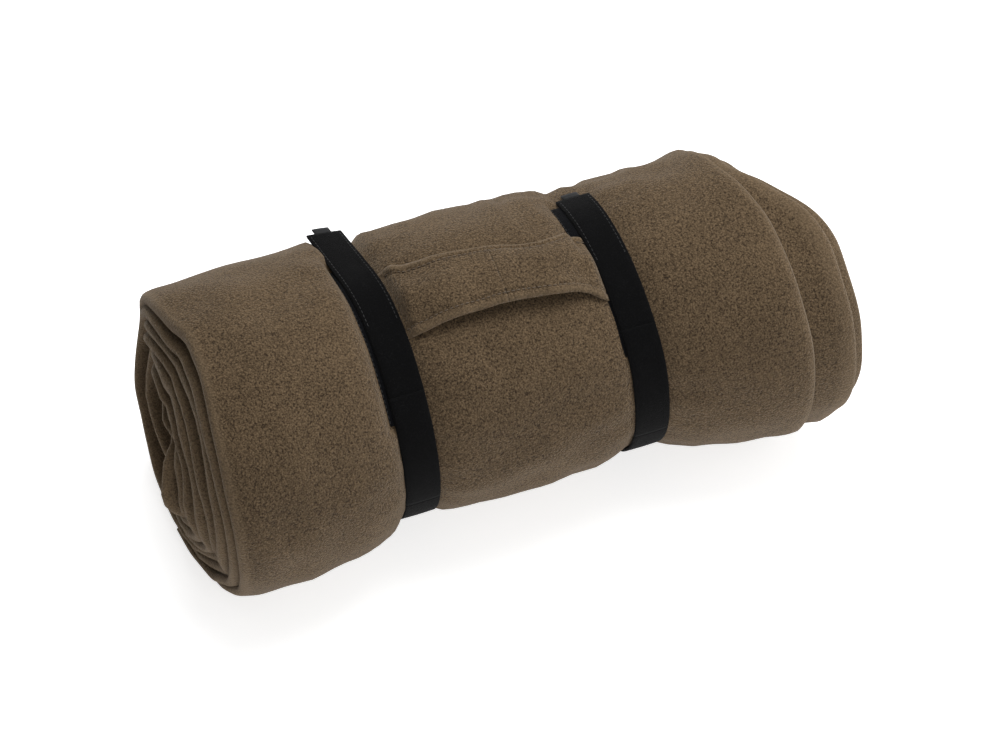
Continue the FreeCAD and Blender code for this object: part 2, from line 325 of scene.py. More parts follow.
def at_clock(x, radius, clock):
    """Points at x, radius and clock angle (radians) about the roll's axis."""
    x, radius, clock = np.broadcast_arrays(x, radius, clock)
    return np.stack([x, -radius * np.cos(clock), AXIS_HEIGHT + radius * np.sin(clock)], axis=-1)


print("front of the waist at", at_clock(0.0, WAIST_RADIUS, 0.0).round(4).tolist())


# %% [markdown]
# ## A piece from a grid of points
# A sheet of cloth could be a plane with a Solidify modifier.  Here the rims have
# to be rounded and each layer has its own thickness, so `shell` builds both
# sides and the rims itself, as one closed mesh with its faces turned outwards.

# %% Meshes and shells
def grid_normals(points):
    """The direction that each point of a grid faces."""
    along_rows = np.gradient(points, axis=0)
    along_columns = np.gradient(points, axis=1)
    normals = np.cross(along_columns, along_rows)
    return normals / np.maximum(np.linalg.norm(normals, axis=2, keepdims=True), 1e-12)


def new_piece(name, points, faces, material, attributes=None):
    """A smooth mesh object with one finish, and values painted on its points."""
    mesh = bpy.data.meshes.new(name)
    mesh.from_pydata([tuple(p) for p in points], [], [tuple(int(i) for i in f) for f in faces])
    for key, values in (attributes or {}).items():
        layer = mesh.attributes.new(key, "FLOAT", "POINT")
        layer.data.foreach_set("value", np.asarray(values, np.float32))
    mesh.polygons.foreach_set("use_smooth", [True] * len(mesh.polygons))
    mesh.materials.append(material)
    mesh.validate()
    mesh.update()
    piece = bpy.data.objects.new(name, mesh)
    bpy.context.scene.collection.objects.link(piece)
    return piece


def outward(piece):
    """Turns every face of a closed piece outwards."""
    work = bmesh.new()
    work.from_mesh(piece.data)
    bmesh.ops.recalc_face_normals(work, faces=work.faces)
    work.to_mesh(piece.data)
    work.free()
    return piece


def shell(name, middle, thickness, material, attributes=None):
    """A closed sheet: a grid of mid-surface points with a thickness and rounded rims.

    The cross-section of every row is one loop: top side, rim, underside, rim.
    """
    rows, columns = middle.shape[:2]
    thickness = np.broadcast_to(thickness, (rows, columns))[..., None]
    normals = grid_normals(middle)
    top = middle + normals * thickness / 2
    under = middle - normals * thickness / 2

    def rim(edge, inner):
        outwards = middle[:, edge] - middle[:, inner]
        outwards /= np.linalg.norm(outwards, axis=1, keepdims=True)
        return middle[:, edge] + outwards * thickness[:, edge] * 0.45

    last = rim(-1, -2)[:, None]
    first = rim(0, 1)[:, None]
    loop = np.concatenate([top, last, under[:, ::-1], first], axis=1)
    width = loop.shape[1]
    index = np.arange(rows * width).reshape(rows, width)
    ring = np.roll(index, -1, axis=1)
    faces = np.stack([index[:-1], ring[:-1], ring[1:], index[1:]], axis=-1).reshape(-1, 4).tolist()
    for row in (0, rows - 1):
        line = index[row]
        upper = line[:columns]
        lower = line[columns + 1:2 * columns + 1][::-1]
        for c in range(columns - 1):
            faces.append([upper[c], upper[c + 1], lower[c + 1], lower[c]])
        faces.append([upper[-1], line[columns], lower[-1]])
        faces.append([upper[0], lower[0], line[-1]])
    spread = {}
    for key, values in (attributes or {}).items():
        edge = np.stack([values[:, -1], values[:, 0]], axis=1)
        spread[key] = np.concatenate(
            [values, edge[:, :1], values[:, ::-1], edge[:, 1:]], axis=1).ravel()
    return outward(new_piece(name, loop.reshape(-1, 3), faces, material, spread))


# %% [markdown]
# ## The roll's outline
# A roll of cloth is not a cylinder.  Each strap bites a waist into it, the loose
# ends swell, and because the cloth winds inwards the radius shrinks a little
# towards the back.  Two lines give the radius along the roll, one on the low
# front side and one on the high back side, and a third leads from one to the
# other around the roll.  A sculpted mesh could do the same, but numbers along a
# line are easy to measure and to change.

# %% Radius along the roll, on the low and on the high side
HALF = STRAP_WIDTH / 2
L, R = STRAP_X["left"] - MIDDLE, STRAP_X["right"] - MIDDLE
LINE_WIDTH = 0.0045          # how far each corner of a line is rounded


def radius_line(left_end, middle, right_end):
    """A line along the roll: (x from the middle, radius) pairs, with the two waists between."""
    pairs = left_end + [(L - HALF, WAIST_RADIUS), (L + HALF, WAIST_RADIUS)]
    pairs += middle + [(R - HALF, WAIST_RADIUS), (R + HALF, WAIST_RADIUS)]
    places, values = zip(*(pairs + right_end))
    return curve(places, values, LINE_WIDTH)


low_line = radius_line(
    [(-0.195, 0.0935), (-0.180, 0.0955), (-0.140, 0.0975), (-0.108, 0.0925), (-0.092, 0.0880),
     (L - HALF - 0.004, 0.0825)],
    [(L + HALF + 0.006, 0.0805), (-0.040, 0.0830), (0.000, 0.0840), (0.040, 0.0825),
     (R - HALF - 0.006, 0.0800)],
    [(R + HALF + 0.005, 0.0805), (0.098, 0.0865), (0.140, 0.0950), (0.180, 0.0975),
     (0.200, 0.0950)])
high_line = radius_line(
    [(-0.195, 0.0865), (-0.180, 0.0890), (-0.140, 0.0905), (-0.110, 0.0900), (-0.092, 0.0890),
     (L - HALF - 0.004, 0.0870)],
    [(L + HALF + 0.006, 0.0860), (-0.030, 0.0880), (0.000, 0.0870), (0.040, 0.0852),
     (R - HALF - 0.006, 0.0820)],
    [(R + HALF + 0.005, 0.0795), (0.100, 0.0806), (0.140, 0.0816), (0.180, 0.0832),
     (0.200, 0.0815)])
high_share = round_curve([-90, -39, 0, 45, 80, 112, 141, 180, 230],
                         [0.10, 0.0, 0.04, 0.10, 0.32, 0.75, 1.0, 0.9, 0.5], 0.35)
print("radius at the middle, low and high side:", low_line(0.0).round(4), high_line(0.0).round(4))

# %% [markdown]
# The real straps do not run quite square around the roll, and each carries the
# cloth under it along.  Where the cloth comes out from under a strap it puckers,
# and on the back it lets go into a loose fold and a few slanting creases.

# %% Radius of the roll at any x and clock angle
slant = {
    "left": round_curve([-120, 70, 90, 108, 125, 150, 172],
                        [0, 0, -0.0007, -0.0025, -0.0040, -0.0030, 0], 0.12),
    "right": round_curve([-163, -60, -20, 30, 60, 110, 128, 150, 175],
                         [0, 0.0015, 0.0030, 0.0030, 0.0010, -0.0018, -0.0025, -0.0010, 0], 0.12),
}


def carried(x, clock):
    """How far along the roll the cloth at x is carried by the straps' slight slant."""
    return sum(slant[side](clock) * hump(x, STRAP_X[side], 0.030) for side in SIDES)


ripple = waves(11, 14, 0.090, 0.028)
# A crease: its x from the middle, how far it slants per radian, and its depth.
CREASES = ((0.029, -0.014, 0.0016), (0.012, -0.005, 0.0010),
           (-0.022, 0.004, 0.0010), (0.098, 0.010, 0.0009))
# Where a loop tape presses its bed into the cloth: rise, full, fade and end, in degrees.
BED_CLOCKS = {"left": (30, 37, 118, 126), "right": (78, 88, 118, 126)}
LET_GO_CLOCKS = (114, 138, 160, 184)
CREASE_CLOCKS = (92, 108, 150, 175)


def round_step(clock, rise, full, fade, end):
    """1 between two clock angles given in degrees, 0 outside, with soft flanks."""
    angle = (np.degrees(clock) - rise) % 360
    return step(angle, 0, full - rise) * (1 - step(angle, fade - rise, end - rise))


def back_folds(local, clock):
    """The loose folds and the creases that the cloth has behind the straps."""
    slack = 0.0080 * hump(local, L, 0.017) + 0.0048 * hump(local, R, 0.014)
    height = slack * round_step(clock, *LET_GO_CLOCKS)
    reach = round_step(clock, *CREASE_CLOCKS)
    for start, per_radian, depth in CREASES:
        line = start + per_radian * (clock - math.radians(120))
        height = height - depth * hump(local, line, 0.0032) * reach
        height = height + 0.6 * depth * hump(local, line + 0.007, 0.004) * reach
    return height


def roll_radius(x, clock):
    """Radius of the finished roll's outside."""
    local = x - MIDDLE - carried(x, clock)
    share = high_share(clock)
    gather = 1.0 - 0.75 * (hump(local, L, 0.014) + hump(local, R, 0.014))
    pucker = hump(local, L - 0.020, 0.016) + hump(local, L + 0.022, 0.016)
    pucker = pucker + hump(local, R - 0.022, 0.016) + hump(local, R + 0.020, 0.016)
    soft = 0.0007 * ripple(local, clock * 0.09) * gather
    folds = 0.0005 * pucker * np.sin(17.0 * clock + 60.0 * local + 2.0 * np.sin(3.0 * clock))
    radius = low_line(local) * (1 - share) + high_line(local) * share
    radius = radius + soft + folds + back_folds(local, clock)
    for side in SIDES:
        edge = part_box("loop_tape_" + side)[0].x - MIDDLE - 0.001
        bed = step(local, edge - 0.0035, edge) * (1 - step(local, edge + 0.016, edge + 0.020))
        bed = bed * round_step(clock, *BED_CLOCKS[side])
        radius = radius + bed * (np.minimum(radius, WAIST_RADIUS) - radius)
    return radius


print("radius at the left end, front:", roll_radius(MIDDLE - 0.180, 0.0).round(4))


# %% [markdown]
# ## Winding the sheet
# The sheet is folded to and fro, so four layers lie on each other.  At the left
# end the layers turn back in two folds, at the right end the outer layer shows
# its free edge and the next two are joined by a fold that stands further out.
# The stack is wound from its outer end, which is tucked under the roll, towards
# the core.  A cloth simulation could roll a sheet up, but keeping 26 layers apart
# takes too long, so a formula places every point.  A column of the grid is a
# place across the sheet (its depth in the stack and how far along the roll it
# is) and a row is a place along the winding.

# %% Columns across the folded sheet
TURNS = 6.4
TURN_SHARE = 0.145           # how much of the radius one turn of four layers takes
SEAM = math.radians(-88)     # clock angle of the outer end
FLEECE_THICKNESS = 0.0031
ZONE_LOW, ZONE_HIGH = MIDDLE - 0.125, MIDDLE + 0.095      # the stretch that the straps hold


def axial(mark, left, right):
    """x of a column's mark: 0..1 is the held middle, -1 the left end and 2 the right end."""
    middle = ZONE_LOW + (ZONE_HIGH - ZONE_LOW) * np.clip(mark, 0, 1)
    to_left = (left - ZONE_LOW) * np.clip(-mark, 0, 1)
    to_right = (right - ZONE_HIGH) * np.clip(mark - 1, 0, 1)
    return middle + to_left + to_right


def middle_marks(spacing, bites):
    """Marks across the held middle, with extra ones where a strap bites in."""
    places = [STRAP_X[side] + bite for side in SIDES for bite in bites]
    filler = np.arange(ZONE_LOW, ZONE_HIGH, spacing)
    places += [x for x in filler if min(abs(x - place) for place in places) > spacing * 0.5]
    return (np.sort(np.array(places)) - ZONE_LOW) / (ZONE_HIGH - ZONE_LOW)


def folded_columns():
    """Depth in the stack (0..3), mark along the roll and reach past the end, per column."""
    close = np.array([-0.0195, -0.0165, -0.0135, -HALF - 0.0012, -HALF + 0.0012, 0.0,
                      HALF - 0.0012, HALF + 0.0012, HALF + 0.0035, HALF + 0.006])
    near_end = np.linspace(0, 1, 13)[1:] ** 0.75
    few = np.linspace(0, 1, 7)[1:] ** 0.6
    outer = np.concatenate([1 + near_end[::-1], middle_marks(0.0072, close)[::-1], -near_end])
    inner = np.concatenate([-few[::-1], middle_marks(0.055, close[[0, 3, 7, 9]]), 1 + few])
    columns = [(0.0, place, 0.0) for place in outer]
    for layer, end, marks in ((1, -1.0, inner), (2, 2.0, inner[::-1]), (3, -1.0, inner)):
        for bend in np.linspace(0, math.pi, 7)[1:-1]:
            columns.append((layer - 0.5 - 0.5 * math.cos(bend), end, 0.5 * math.sin(bend)))
        columns += [(float(layer), place, 0.0) for place in marks]
    return np.array(columns).T


depth, mark, reach = folded_columns()
first_turn = np.linspace(0, 2 * math.pi, 144)
later_turns = np.linspace(2 * math.pi, 2 * math.pi * TURNS, 181)[1:]
wound = np.concatenate([first_turn, later_turns])
print("blanket grid:", len(wound), "rows by", len(depth), "columns")


# %% [markdown]
# ## The two ends of the roll
# The ends are what makes a roll look like cloth.  At the left each inner turn
# stands a little further out, and the core is set back into a hollow.  The right
# end leans, so its back is set in.  Lines around the roll say where the outermost
# turn ends, and `stand_out` and `facing` say how the others follow it.

# %% Where each turn of cloth ends
left_edge = round_curve(
    [-115, -98, -72, -60, -45, -30, 7, 32, 51,
     75, 93, 102, 118, 135, 165, 180, 205, 225],
    [-0.1945, -0.1930, -0.1880, -0.1840, -0.1800, -0.1770, -0.177, -0.1765, -0.175,
     -0.171, -0.171, -0.176, -0.181, -0.184, -0.185, -0.187, -0.193, -0.1945], 0.12)
right_edge = round_curve(
    [-60, -30, 0, 21, 41, 56, 72,
     88, 102, 121, 140, 180, 230, 280],
    [0.163, 0.165, 0.165, 0.165, 0.164, 0.1635, 0.161,
     0.1545, 0.149, 0.145, 0.143, 0.138, 0.142, 0.155], 0.15)
stand_out = curve([0, 1, 2, 3, 4, 5, 6.5],
                  [0.0, 0.0070, 0.0145, 0.0200, 0.0200, 0.0100, 0.0], 0.35)
facing = round_curve([-90, -45, 0, 60, 95, 125, 160, 220, 250],
                     [0.1, 0.70, 1.0, 1.0, 0.95, 0.35, -0.5, -1.0, -0.6], 0.25)
lip_wave = waves(5, 9, 2.6, 0.8)
hem_wave = waves(8, 7, 3.0, 1.0)
fold_wave = waves(21, 8, 3.5, 1.2)
CORE_SET_BACK = 0.050
SET_BACK_PER_TURN = 0.0035


def turn_ends(psi, clock):
    """x of the left and the right end of the cloth at each place along the winding."""
    turn = psi / (2 * math.pi)
    wobble = 0.0022 * lip_wave(psi, turn) * step(turn, 0.6, 1.4)
    left = left_edge(clock) - stand_out(turn) * facing(clock) + wobble
    left = left + CORE_SET_BACK * step(turn, 3.3, 4.6)
    right = right_edge(clock) - SET_BACK_PER_TURN * turn + 0.0015 * hem_wave(psi, turn)
    return left + MIDDLE, right + MIDDLE


def second_reach(clock):
    """How far the second layer's edge stands beyond the outer one's."""
    angle = np.degrees((clock + math.pi) % (2 * math.pi) - math.pi)
    return 0.005 + 0.0205 * (1 - step(angle, 56, 108)) * step(angle, -95, -5)


print("left end in front and behind:", left_edge(0.0).round(4), left_edge(math.pi).round(4))


# %% [markdown]
# ## The winding itself
# Now every point has a place along the roll, a clock angle and a depth, and its
# radius is the outline's, less the turns and layers that lie over it.  Hollows
# open between the turns at the loose end, and the weight presses the underside
# flat on the floor.

# %% Hollows, and the flat underside
# A hollow: the turn it lies under, its clock angle, its spread and how deep it is.
HOLLOWS = ((0.55, 88, 0.50, 0.10), (1.45, 55, 0.75, 0.13), (2.5, 100, 0.9, 0.16),
           (2.4, 15, 0.6, 0.13), (3.4, 60, 1.1, 0.16))
TIGHTEST = 0.45              # no turn is drawn in further than this


def opened(radius, x, clock, turn):
    """Opens hollows between the turns near the loose left end."""
    near = 1.0 - step(x - MIDDLE, -0.190, -0.115)
    tight = 1.0
    for at_turn, clock_deg, spread, share in HOLLOWS:
        away = (clock - math.radians(clock_deg) + math.pi) % (2 * math.pi) - math.pi
        below = step(turn, at_turn - 0.10, at_turn + 0.45)
        tight = tight - share * np.exp(-(away / spread) ** 2) * below
    return radius * (1 + near * (np.maximum(tight, TIGHTEST) - 1))


SOFT_BELOW = 0.034           # height under which the weight is felt
LOWEST = -0.006              # how low the round roll would reach
RESTING = 0.0016             # height of the lowest layer's middle


def settle(points):
    """The roll's weight presses its underside flat, without letting layers cross."""
    z = points[..., 2]
    sunk = np.clip((SOFT_BELOW - z) / (SOFT_BELOW - LOWEST), 0.0, 1.25)
    pressed = SOFT_BELOW - (SOFT_BELOW - RESTING) * np.minimum(sunk * (1.55 - 0.55 * sunk), 1.0)
    points[..., 2] = np.where(z < SOFT_BELOW, pressed, z)
    return points


# %% The wound sheet
MEAN_RADIUS = 0.095
LAYER_SHARE = TURN_SHARE / 4
FOLD_BULGE = 1.25            # how far a fold stands out, in layers


def wind_blanket():
    """Mid-surface points of the sheet, its thickness, and how much painted highlight each place
    has.
    """
    psi = wound[:, None]
    clock = SEAM + psi
    turn = psi / (2 * math.pi)
    left, right = turn_ends(psi, clock)
    stack = depth[None, :]
    beyond = second_reach(clock) * step(stack, 0.3, 0.9) + 0.0085 * step(stack, 2.1, 2.9)
    left = left - step(stack, 1.1, 1.9) * (0.0035 + 0.0025 * fold_wave(psi, turn))
    x = axial(mark[None, :], left, right + beyond)
    x = x + reach * LAYER_SHARE * MEAN_RADIUS * np.where(mark < 0.5, -FOLD_BULGE, FOLD_BULGE)
    x = x + carried(x, clock)
    around = (clock - SEAM) % (2 * math.pi) / (2 * math.pi)
    outline = 1.0 - TURN_SHARE * step(around, 0.77, 0.99)
    swell = outline / (1.0 - TURN_SHARE * around)
    share = 1.0 - TURN_SHARE * turn - stack * LAYER_SHARE
    radius = roll_radius(x, clock) * swell
    level = turn + stack / 4
    middle_radius = opened(radius * share, x, clock, level) - FLEECE_THICKNESS / 2
    from_middle = np.abs(x - (left + right) / 2)
    end_round = 0.0022 * step(from_middle, 0.158, 0.178) * (1 - step(level, 0.2, 1.2))
    curl = 0.0012 * step(mark, 1.70, 2.0) * (1 - step(depth, 0.1, 0.6))
    curl = curl + 0.0022 * step(mark, 1.80, 2.0) * step(depth, 0.6, 1.0)
    points = at_clock(x, middle_radius - end_round + curl, clock)
    thick = np.minimum(FLEECE_THICKNESS, 0.86 * radius * LAYER_SHARE)
    # Painted highlight: 1 at the sheet's cut edges and fold ends, where the cloth catches more
    # light, 0 on the flat cloth
    rim = 1.0 - np.minimum(np.minimum(mark + 1, 2 - mark) / 0.05, 1.0)
    rim_highlight = np.broadcast_to(rim[None, :], thick.shape)
    return settle(points), thick, rim_highlight


cloth_points, cloth_thickness, cloth_rim_highlight = wind_blanket()
blanket = shell("blanket", cloth_points, cloth_thickness, fleece, {"rim_highlight": cloth_rim_highlight})
print("blanket:", len(blanket.data.polygons) * 2, "triangles")


# %% [markdown]
# ## Straps and loop tapes
# A strap is a flat ribbon that runs round the roll and leaves it on its tangent
# near the end.  The route is a list of clock angles, then a straight stretch.  A
# curve with a bevel would do for a plain strap, but this one has a flat, slightly
# crowned section with rounded edges, so the section is swept in code.

# %% The straps' sizes and their route around the roll
TAPE_THICKNESS = 0.0019
STRAP_RADIUS = 0.0777                       # of the strap's middle layer
LEAVES = {"left": 108.0, "right": 115.0}    # clock angle where the tail leaves the roll
FREE = {"left": 0.050, "right": 0.008}      # length of the free tail
VEER = {"left": -0.09, "right": -0.05}      # sideways run of the free tail per length
TILT = {"left": 0.16, "right": 0.0}         # twist at the tail's tip, in radians
TAB_LENGTH = 0.007
SPACING = 0.002                             # of the points along a free tail


def route(side, start, stop, free=0.0, radius=STRAP_RADIUS, aside=0.0):
    """Centre points, outward directions and twist of a strap between two clock angles."""
    clocks = np.radians(np.arange(start, stop + 0.01, 2.0))
    if abs(math.degrees(clocks[-1]) - stop) > 0.01:
        clocks = np.append(clocks, math.radians(stop))
    x = STRAP_X[side] + aside + slant[side](clocks)
    points = list(at_clock(x, radius, clocks))
    outs = list(at_clock(0.0, 1.0, clocks) - np.array([0, 0, AXIS_HEIGHT]))
    tilt = [0.0] * len(clocks)
    forward = np.array([VEER[side], math.sin(clocks[-1]), math.cos(clocks[-1])])
    leaving = points[-1]
    for length in np.arange(SPACING, free + 1e-6, SPACING):
        points.append(leaving + forward * length)
        outs.append(outs[-1])
        tilt.append(TILT[side] * length / (FREE[side] + TAB_LENGTH))
    return np.array(points), np.array(outs), np.array(tilt)


tail_path = route("left", 0.0, LEAVES["left"], FREE["left"])[0]
print("left strap's tail ends at", tail_path[-1].round(4).tolist())

# %% A ribbon along a route
ACROSS = np.array([-0.5, -0.497, -0.47, -0.30, 0.0, 0.30, 0.47, 0.497, 0.5])
HEIGHT = np.array([0.0, 0.28, 0.5, 0.5, 0.5, 0.5, 0.5, 0.28, 0.0])
CROWN = 0.0002


def ribbon(name, width, thickness, path, material):
    """A flat tape with rounded edges swept along a route."""
    around = np.concatenate([ACROSS, ACROSS[-2:0:-1]])
    profile_x = around * width
    lift = np.cos(around * math.pi) * CROWN
    profile_h = np.concatenate([HEIGHT, -HEIGHT[-2:0:-1]]) * thickness + lift
    count = len(profile_x)
    spine, outs, tilt = path
    raised = profile_h[None, :] - profile_x[None, :] * np.sin(tilt)[:, None]
    points = spine[:, None, :] + outs[:, None, :] * raised[..., None]
    points = points + profile_x[None, :, None] * np.array([1.0, 0, 0])
    faces = []
    for row in range(len(spine) - 1):
        for c in range(count):
            a, b = row * count + c, row * count + (c + 1) % count
            faces.append((a, b, b + count, a + count))
    faces.append(tuple(range(count)))
    faces.append(tuple(range((len(spine) - 1) * count, len(spine) * count)))
    piece = outward(new_piece(name, points.reshape(-1, 3), faces, material))
    for cap in piece.data.polygons[-2:]:
        cap.use_smooth = False
    return piece


# %% [markdown]
# A strap peels open in three bends, at the three hinges of the design.  The
# ribbon is made in three runs, and the cuts between runs fall where the strap
# stays stiff.

# %% The straps, their hook tapes and pull tabs, and the loop tapes under them
CUTS = (-163.0, -10.0, 47.5)                # where each run starts
STRAP_RUNS = ("lower", "front", "upper")
STRAP_NODES = ("strap_base_", "strap_front_", "strap_upper_")
HOOK_START = 79.0                           # clock angle where the hook tape begins
HOOK_THICKNESS = 0.0008
LOOP_CLOCKS = (36.0, 117.0)                 # from one end of a loop tape to the other
LOOP_THICKNESS = 0.0018
TAB_WIDTH = 0.010
TAB_THICKNESS = 0.0012


def make_strap(side):
    stops = (CUTS[1], CUTS[2], LEAVES[side])
    for number, part in enumerate(STRAP_RUNS):
        free = FREE[side] if part == "upper" else 0.0
        path = route(side, CUTS[number], stops[number], free)
        name = "strap_" + part + "_run_" + side
        strap = ribbon(name, STRAP_WIDTH, TAPE_THICKNESS, path, strap_pile)
        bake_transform(strap)
        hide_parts(STRAP_NODES[number] + side)
        if part == "upper":
            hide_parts("strap_tail_" + side)


def make_hook_tape(side):
    path = route(side, HOOK_START, LEAVES[side], FREE[side] - 0.002, STRAP_RADIUS - 0.0012)
    hook = ribbon("hook_run_" + side, STRAP_WIDTH - 0.002, HOOK_THICKNESS, path, hooks)
    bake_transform(hook)
    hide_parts("hook_tape_" + side)


def make_tab(side):
    path = route(side, LEAVES[side] - 1, LEAVES[side], FREE[side] + TAB_LENGTH)
    first = len(path[0]) - int(TAB_LENGTH / SPACING) - 1
    tip = [values[first:] for values in path]
    tab = ribbon("tab_" + side, TAB_WIDTH, TAB_THICKNESS, tip, tab_finish)
    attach(tab, side + "_strap_tail")
    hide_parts("pull_tab_" + side)


def make_loop_tape(side):
    low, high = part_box("loop_tape_" + side)
    aside = (low.x + high.x) / 2 - STRAP_X[side]
    path = route(side, *LOOP_CLOCKS, 0.0, WAIST_RADIUS - 0.0002, aside)
    tape = ribbon("loop_tape_run_" + side, STRAP_WIDTH, LOOP_THICKNESS, path, tape_pile)
    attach(tape, "blanket")
    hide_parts("loop_tape_" + side)


for side in SIDES:
    make_strap(side)
    make_hook_tape(side)
    make_tab(side)
    make_loop_tape(side)


# %% [markdown]
# ## The carry handle
# The handle is a band of fleece folded double, its edges turned in and
# topstitched, and its ends sewn down under the straps.  It bows up off the roll
# because it is a little longer than the stretch it spans.  A plane with a cloth
# modifier could bow like this, but the band has to follow the roll's own creases,
# so it is laid on the roll's radius with a slack.  It is made in two halves,
# which meet at its middle.

# %% The band's surface
HANDLE_THICKNESS = 0.0046
HEM = 0.10                   # share of the width between an edge and its topstitching
# The clock angles of the two edges, in degrees, at places along the roll.
front_edge = curve([-0.060, -0.049, -0.040, -0.005, 0.012, 0.030, 0.040, 0.048, 0.053, 0.060],
                   [69.5, 69.8, 70.4, 70.5, 69.8, 68.2, 67.6, 66.0, 63.8, 60.5], 0.003)
back_edge = curve(
    [-0.060, -0.055, -0.048, -0.037, -0.017, -0.003, 0.009, 0.019, 0.030, 0.040, 0.048, 0.060],
    [106.0, 102.5, 98.7, 96.8, 95.8, 94.6, 93.4, 91.3, 89.9, 91.0, 93.5, 92.5], 0.003)


def sewn_ends(local):
    """0 where the band dives under a strap, 1 where it is free of it."""
    left = step(local, L + HALF - 0.001, L + HALF + 0.007)
    right = 1 - step(local, R - HALF - 0.004, R - HALF + 0.001)
    return left * right


def handle_surface(x, v):
    """Point on the band's middle layer: v is 0 at its front edge and 1 at its back edge."""
    local = x - MIDDLE
    clock = np.radians(front_edge(local) * (1 - v) + back_edge(local) * v)
    lift = step(local, L + 0.008, L + 0.045) * (1 - step(local, R - 0.045, R - 0.010))
    free = sewn_ends(local - carried(x, clock))
    slack = 0.0024 + lift * (0.0062 - 0.0040 * step(v, 0.45, 1.0))
    base = np.maximum(roll_radius(x, clock), WAIST_RADIUS)
    crease = 0.0012 * np.sin(v * 9.0 + 55.0 * local) * (1 - lift * 0.6)
    radius = base - 0.0006 + (slack + crease) * free
    return at_clock(x, radius, clock)


def handle_half(name, low, high):
    """Half of the band, thin where it is stitched and rolled at its edges."""
    xs = np.linspace(low, high, 46)[:, None]
    v = np.linspace(0.0, 1.0, 30)[None, :]
    middle = handle_surface(xs, v)
    stitched = hump(v, HEM, 0.020) + hump(v, 1 - HEM, 0.020)
    thick = HANDLE_THICKNESS * (1 - 0.60 * stitched) * (0.35 + 0.65 * sewn_ends(xs - MIDDLE))
    rolled = 1 - 0.30 * (hump(v, 0.0, 0.03) + hump(v, 1.0, 0.03))
    # Painted highlight: a paler colour along the band's two rolled edges, where they catch more
    # light
    rim_highlight = np.broadcast_to(hump(v, 0.0, 0.04) + hump(v, 1.0, 0.04), thick.shape)
    return shell(name, middle, thick * rolled, fleece, {"rim_highlight": rim_highlight})


# %% The two halves, from each strap to the middle
handle_left = handle_half("handle_left_half", STRAP_X["left"] + HALF - 0.003, MIDDLE)
handle_right = handle_half("handle_right_half", MIDDLE, STRAP_X["right"] - HALF + 0.002)
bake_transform(handle_left)
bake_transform(handle_right)
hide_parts("handle_grip", "handle_end_left", "handle_tack_left")
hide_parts("handle_end_right", "handle_tack_right")
for half in (handle_left, handle_right):
    print(half.name, "is", round(half.dimensions.x * 1000), "mm long")


# %% [markdown]
# ## Stitches with Geometry Nodes
# A row of topstitching is one short stitch repeated along a line.  An Array
# modifier on a curve could repeat it, but a node tree does it in one place: it
# resamples the line at the stitch's pitch, puts a stitch on every point, turns
# it along the line and gives it the thread's finish.

# %% The stitch tree
def stitch_tree(material):
    """The node tree, and the identifiers of its three sizes."""
    tree = bpy.data.node_groups.new("Stitches", "GeometryNodeTree")
    tree.interface.new_socket("Line", in_out="INPUT", socket_type="NodeSocketGeometry")
    sizes = [tree.interface.new_socket(name, in_out="INPUT", socket_type="NodeSocketFloat")
             for name in ("Pitch", "Stitch length", "Thread")]
    tree.interface.new_socket("Rows", in_out="OUTPUT", socket_type="NodeSocketGeometry")
    nodes, links = tree.nodes, tree.links
    source = nodes.new("NodeGroupInput")
    sink = nodes.new("NodeGroupOutput")
    curve_node = nodes.new("GeometryNodeMeshToCurve")
    resample = nodes.new("GeometryNodeResampleCurve")
    resample.mode = "LENGTH"
    capsule = nodes.new("GeometryNodeMeshUVSphere")
    capsule.inputs["Segments"].default_value = 6
    capsule.inputs["Rings"].default_value = 5
    capsule.inputs["Radius"].default_value = 0.5
    tangent = nodes.new("GeometryNodeInputTangent")
    align = nodes.new("FunctionNodeAlignRotationToVector")
    align.axis = "Z"
    scale = nodes.new("ShaderNodeCombineXYZ")
    place = nodes.new("GeometryNodeInstanceOnPoints")
    realize = nodes.new("GeometryNodeRealizeInstances")
    paint = nodes.new("GeometryNodeSetMaterial")
    paint.inputs["Material"].default_value = material
    links.new(source.outputs["Line"], curve_node.inputs["Mesh"])
    links.new(curve_node.outputs["Curve"], resample.inputs["Curve"])
    links.new(source.outputs["Pitch"], resample.inputs["Length"])
    links.new(tangent.outputs["Tangent"], align.inputs["Vector"])
    links.new(source.outputs["Thread"], scale.inputs["X"])
    links.new(source.outputs["Thread"], scale.inputs["Y"])
    links.new(source.outputs["Stitch length"], scale.inputs["Z"])
    links.new(resample.outputs["Curve"], place.inputs["Points"])
    links.new(capsule.outputs["Mesh"], place.inputs["Instance"])
    links.new(align.outputs["Rotation"], place.inputs["Rotation"])
    links.new(scale.outputs["Vector"], place.inputs["Scale"])
    links.new(place.outputs["Instances"], realize.inputs["Geometry"])
    links.new(realize.outputs["Geometry"], paint.inputs["Geometry"])
    links.new(paint.outputs["Geometry"], sink.inputs["Rows"])
    return tree, [size.identifier for size in sizes]


brown_rows = stitch_tree(thread_brown)
black_rows = stitch_tree(thread_black)
print("stitch tree:", [node.name for node in brown_rows[0].nodes])

# %% Rows of stitches as plain meshes
PITCH = 0.0030
STITCH_LENGTH = 0.0023
HANDLE_THREAD = 0.0006
TAPE_THREAD = 0.0005


